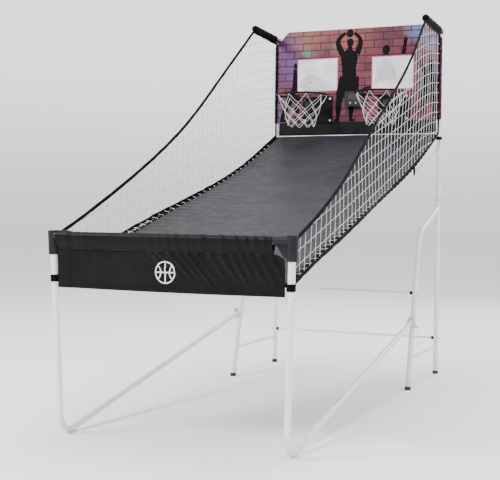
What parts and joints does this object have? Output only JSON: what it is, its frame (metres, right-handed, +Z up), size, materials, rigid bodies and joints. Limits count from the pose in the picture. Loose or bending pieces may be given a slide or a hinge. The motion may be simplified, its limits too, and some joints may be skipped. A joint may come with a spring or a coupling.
{
  "type": "basketball hoop machine",
  "caption": "Folding twin-hoop basketball shooting machine on a white tube frame, with a sloping cloth ball return, side nets, printed backboard and electronic scorer.",
  "frame": {"origin": "on the floor, under the middle of the machine", "axes": "+Z up, +Y from the players towards the backboard, +X to the players' right"},
  "size_m": [1.1022, 2.4417, 2.033],
  "materials": {
    "white_steel": "gloss powder coat",
    "zinc_steel": "zinc plated",
    "black_plastic": "fine texture",
    "grey_plastic": "satin",
    "foot_rubber": "matte",
    "black_cloth": "woven nylon",
    "ramp_cloth": "woven polyester",
    "white_mesh": "knotless mesh",
    "sleeve_foam": "cloth over foam",
    "printed_board": "printed film on thin board",
    "black_steel": "semi-gloss powder coat",
    "smoked_window": "smoked",
    "green_board": "solder mask",
    "cell_case": "label film",
    "button_rubber": "matte",
    "cord_black": "braided",
    "cord_white": "braided"
  },
  "bodies": {
    "rear_frame": {"rear_post_lower_left": "white_steel", "rear_post_lower_right": "white_steel", "rear_post_upper_left": "white_steel", "rear_post_upper_right": "white_steel", "fork_leg_left": "white_steel", "fork_leg_right": "white_steel", "side_braces": "white_steel", "upper_cross_tube": "white_steel", "lower_cross_tube": "white_steel", "ramp_crossbar": "white_steel", "net_arms": "white_steel", "fold_brackets": "white_steel", "cross_tube_bolts": "zinc_steel", "frame_bolts": "zinc_steel", "pivot_bolts": "zinc_steel", "backboard_bolts": "zinc_steel", "rim_bolts": "zinc_steel", "scoreboard_screws": "zinc_steel", "paddle_pins": "zinc_steel", "cross_tube_spacers": "black_plastic", "arm_elbows": "black_plastic", "scoreboard_back": "black_plastic", "sensor_housings": "black_plastic", "scoreboard_housing": "grey_plastic", "foot_caps": "foot_rubber", "post_straps": "black_cloth", "rear_curtain": "black_cloth", "tie_cord_tab": "black_cloth", "ramp_fabric": "ramp_cloth", "side_net_left": "white_mesh", "side_net_right": "white_mesh", "rim_net_left": "white_mesh", "rim_net_right": "white_mesh", "arm_sleeves": "sleeve_foam", "backboard": "printed_board", "rim_left": "black_steel", "rim_right": "black_steel", "score_window": "smoked_window", "circuit_board": "green_board", "battery_cells": "cell_case", "tie_cord": "cord_black"},
    "front_frame": {"front_leg_uppers": "white_steel", "front_leg_middles": "white_steel", "base_tube_left": "white_steel", "base_tube_right": "white_steel", "stay_tubes": "white_steel", "front_bar": "white_steel", "corner_caps": "black_plastic", "front_cover": "black_cloth", "leg_straps": "black_cloth", "leg_bolts": "zinc_steel"},
    "lock_pin_left": {"lock_pin_left": "zinc_steel", "pin_lanyard_left": "cord_white"},
    "lock_pin_right": {"lock_pin_right": "zinc_steel", "pin_lanyard_right": "cord_white"},
    "score_paddle_left": {"score_paddle_left": "black_plastic"},
    "score_paddle_right": {"score_paddle_right": "black_plastic"},
    "power_button": {"power_button": "button_rubber"},
    "select_button": {"select_button": "button_rubber"},
    "battery_door": {"battery_door": "black_plastic"}
  },
  "joints": [
    {"name": "front_fold", "type": "hinge", "parent": "rear_frame", "child": "front_frame", "pos_m": [0, 0.62934, 0.3516], "axis": [-1, 0, 0], "range_deg": [0, 90], "deforming": ["ramp_fabric", "side_net_left", "side_net_right"]},
    {"name": "lock_pin_pull_left", "type": "slide", "parent": "rear_frame", "child": "lock_pin_left", "axis": [-1, 0, 0], "range_m": [0, 0.06]},
    {"name": "lock_pin_pull_right", "type": "slide", "parent": "rear_frame", "child": "lock_pin_right", "axis": [1, 0, 0], "range_m": [0, 0.06]},
    {"name": "score_paddle_swing_left", "type": "hinge", "parent": "rear_frame", "child": "score_paddle_left", "pos_m": [-0.237, 1.034, 1.5877], "axis": [1, 0, 0], "range_deg": [0, 24], "stiffness_Nm_per_rad": 0.02, "springref_deg": -22.92},
    {"name": "score_paddle_swing_right", "type": "hinge", "parent": "rear_frame", "child": "score_paddle_right", "pos_m": [0.237, 1.034, 1.5877], "axis": [1, 0, 0], "range_deg": [0, 24], "stiffness_Nm_per_rad": 0.02, "springref_deg": -22.92},
    {"name": "power_button_press", "type": "slide", "parent": "rear_frame", "child": "power_button", "axis": [0, 1, 0], "range_m": [0, 0.0015], "stiffness_N_per_m": 300, "springref_m": -0.001},
    {"name": "select_button_press", "type": "slide", "parent": "rear_frame", "child": "select_button", "axis": [0, 1, 0], "range_m": [0, 0.0015], "stiffness_N_per_m": 300, "springref_m": -0.001},
    {"name": "battery_door_slide", "type": "slide", "parent": "rear_frame", "child": "battery_door", "axis": [0, 0, -1], "range_m": [0, 0.03]}
  ]
}
